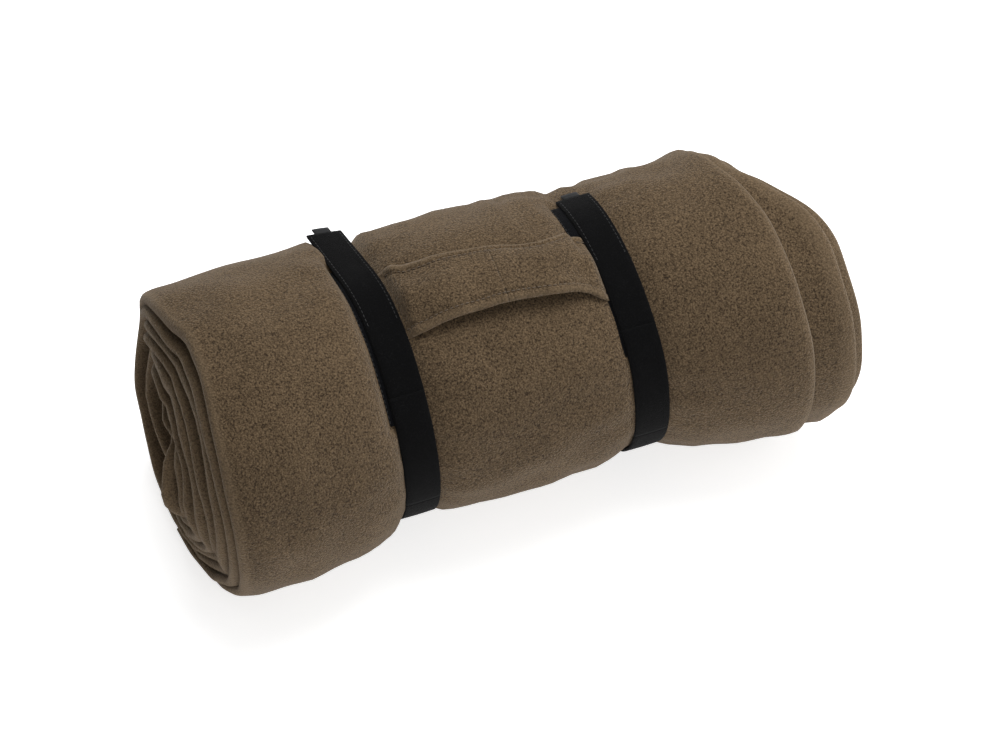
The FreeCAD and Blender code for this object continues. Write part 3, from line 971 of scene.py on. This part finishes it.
def stitches(name, lines, tree_and_sizes, thread):
    """Turns polylines into rows of stitches and returns them as one plain mesh."""
    tree, identifiers = tree_and_sizes
    mesh = bpy.data.meshes.new(name + "_line")
    points, edges = [], []
    for line in lines:
        first = len(points)
        points += [tuple(p) for p in line]
        edges += [(first + i, first + i + 1) for i in range(len(line) - 1)]
    mesh.from_pydata(points, edges, [])
    row = bpy.data.objects.new(name, mesh)
    bpy.context.scene.collection.objects.link(row)
    modifier = row.modifiers.new("stitches", "NODES")
    modifier.node_group = tree
    for identifier, size in zip(identifiers, (PITCH, STITCH_LENGTH, thread)):
        modifier[identifier] = size
    evaluated = row.evaluated_get(bpy.context.evaluated_depsgraph_get())
    made = bpy.data.meshes.new_from_object(evaluated)
    row.modifiers.remove(modifier)
    row.data = made
    row.data.polygons.foreach_set("use_smooth", [True] * len(row.data.polygons))
    print(name, "has", len(row.data.polygons), "faces")
    return row


# %% The handle's topstitching
def handle_row(v, low, high):
    """A line on the handle's outside, v of the way across its width."""
    xs = np.linspace(low, high, 60)
    points = handle_surface(xs, np.full(60, v))
    outs = points - np.stack([xs, np.zeros(60), np.full(60, AXIS_HEIGHT)], axis=1)
    outs /= np.linalg.norm(outs, axis=1, keepdims=True)
    return points + outs * HANDLE_THICKNESS * 0.36


for side, low, high in (("left", STRAP_X["left"] + 0.012, MIDDLE - 0.001),
                        ("right", MIDDLE + 0.001, STRAP_X["right"] - 0.012)):
    lines = [handle_row(v, low, high) for v in (HEM, 1 - HEM)]
    row = stitches("handle_topstitch_" + side, lines, brown_rows, HANDLE_THREAD)
    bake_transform(row)
    if side == "left":
        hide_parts("handle_stitching_front", "handle_stitching_back")


# %% [markdown]
# The hook tape is sewn to the strap along both edges, the strap's fixed end is
# sewn to the blanket with a box of stitches, and the loop tape has a row along
# the edge that shows.

# %% Black rows on the tapes
INSET = HALF - 0.002
ON_TOP = TAPE_THICKNESS / 2 + 0.00005
BOX_CLOCKS = (-161.5, -139.0)               # the two ends of each sewn box
ROW_CLOCKS = (38.0, 115.5)                  # the two ends of a loop tape's row


def tape_row(side, offset, start, stop, height, free=0.0, radius=STRAP_RADIUS):
    """A line on a tape's outside, offset from its centre line."""
    spine, outs, tilt = route(side, start, stop, free, radius)
    raised = height - offset * np.sin(tilt)
    return spine + outs * raised[:, None] + np.array([offset, 0, 0])


def sew_tail(side):
    rows = [tape_row(side, offset, 80.0, LEAVES[side], ON_TOP, FREE[side] - 0.004)
            for offset in (-INSET, INSET)]
    piece = stitches("tail_stitch_run_" + side, rows, black_rows, TAPE_THREAD)
    side + "_strap_upper"
    side + "_strap_tail"
    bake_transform(piece)
    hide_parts("tail_stitching_" + side)


def sew_box(side):
    rows = [tape_row(side, offset, *BOX_CLOCKS, ON_TOP) for offset in (-INSET, INSET)]
    across = np.linspace(-INSET, INSET, 12) + STRAP_X[side]
    rows += [at_clock(across, STRAP_RADIUS + ON_TOP, math.radians(clock)) for clock in BOX_CLOCKS]
    piece = stitches("anchor_stitch_run_" + side, rows, black_rows, TAPE_THREAD)
    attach(piece, "blanket")
    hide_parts("anchor_stitching_" + side)


def sew_loop_tape(side):
    low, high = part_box("loop_stitching_" + side)
    offset = (low.x + high.x) / 2 - STRAP_X[side]
    rows = [tape_row(side, offset, *ROW_CLOCKS, 0.0, 0.0, WAIST_RADIUS + 0.0007)]
    piece = stitches("loop_stitch_run_" + side, rows, black_rows, TAPE_THREAD)
    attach(piece, "blanket")
    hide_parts("loop_stitching_" + side)


for side in SIDES:
    sew_tail(side)
    sew_box(side)
    sew_loop_tape(side)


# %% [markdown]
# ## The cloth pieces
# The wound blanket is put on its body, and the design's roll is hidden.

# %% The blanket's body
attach(blanket, "blanket")
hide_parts("blanket_roll")
print("cloth pieces:", blanket.name, handle_left.name, handle_right.name)


# %% [markdown]
# ## Floor, light and camera
# White paper that glows a little, so that its far parts stay white, a big soft
# key light from above and behind, and two weaker fills.  A black card beyond the
# left end keeps light out of the roll's hollows.

# %% The floor and the card
WHITE = (1.0, 1.0, 1.0, 1.0)
FLOOR_HALF = 6.0
CARD_X = -0.62
CARD_Y = (-0.55, 0.85)
CARD_Z = (0.02, 0.75)


def stage_card(name, corners, material):
    """A flat card that is not part of the object."""
    mesh = bpy.data.meshes.new(name)
    mesh.from_pydata(corners, [], [(0, 1, 2, 3)])
    mesh.materials.append(material)
    card = bpy.data.objects.new(name, mesh)
    bpy.context.scene.collection.objects.link(card)
    return card


paper = Finish("floor_paper", Base_Color=(0.8, 0.8, 0.8, 1.0), Roughness=0.9,
               Emission_Strength=0.68)
paper.shader.inputs["Emission Color"].default_value = WHITE
floor = stage_card("floor", [(x * FLOOR_HALF, y * FLOOR_HALF, 0)
                             for x, y in ((-1, -1), (1, -1), (1, 1), (-1, 1))], paper.material)
black = Finish("flag_black", Base_Color=(0.01, 0.01, 0.01, 1.0), Roughness=0.9)
flag = stage_card("flag", [(CARD_X, CARD_Y[0], CARD_Z[0]), (CARD_X, CARD_Y[1], CARD_Z[0]),
                           (CARD_X, CARD_Y[1], CARD_Z[1]), (CARD_X, CARD_Y[0], CARD_Z[1])],
                  black.material)
flag.visible_camera = False
print("stage:", floor.name, flag.name)

# %% The camera and the lights
LIGHT_TARGET = (0, 0, 0.08)
# Each light: its place, its size in metres and its power in watts.
LIGHTS = {
    "key": ((0.5, 0.5, 1.9), 1.4, 46),
    "front_fill": ((0.5, -1.9, 1.0), 1.6, 9),
    "right_fill": ((1.7, -0.3, 0.9), 1.2, 6),
}
SKY_STRENGTH = 0.42


def add_light(name, location, size, power):
    data = bpy.data.lights.new(name, "AREA")
    data.size = size
    data.energy = power
    light = bpy.data.objects.new(name, data)
    light.location = location
    bpy.context.scene.collection.objects.link(light)
    aim(light, LIGHT_TARGET)


def aim(thing, target):
    """Turns a light or a camera to look at a place."""
    direction = Vector(target) - Vector(thing.location)
    thing.rotation_euler = direction.to_track_quat("-Z", "Y").to_euler()


CAMERA_AZIMUTH = math.radians(-20.2)
CAMERA_ELEVATION = math.radians(53.4)
CAMERA_DISTANCE = 2.066
CAMERA_TARGET = (MIDDLE + 0.0066, 0.0, 0.0622)
LENS_LENGTH = 126.0          # millimetres, a long lens
SENSOR_WIDTH = 36.0


def make_camera():
    data = bpy.data.cameras.new("camera")
    data.sensor_width = SENSOR_WIDTH
    data.lens = LENS_LENGTH
    camera = bpy.data.objects.new("camera", data)
    back = (math.sin(CAMERA_AZIMUTH) * math.cos(CAMERA_ELEVATION),
            -math.cos(CAMERA_AZIMUTH) * math.cos(CAMERA_ELEVATION),
            math.sin(CAMERA_ELEVATION))
    camera.location = [t + CAMERA_DISTANCE * b for t, b in zip(CAMERA_TARGET, back)]
    bpy.context.scene.collection.objects.link(camera)
    aim(camera, CAMERA_TARGET)
    bpy.context.scene.camera = camera


make_camera()
for name, (location, size, power) in LIGHTS.items():
    add_light(name, location, size, power)
world = bpy.data.worlds.new("studio")
world.use_nodes = True
sky = world.node_tree.nodes["Background"]
sky.inputs["Color"].default_value = WHITE
sky.inputs["Strength"].default_value = SKY_STRENGTH
bpy.context.scene.world = world
bpy.context.scene.view_settings.view_transform = "Standard"
print("lights:", list(LIGHTS))
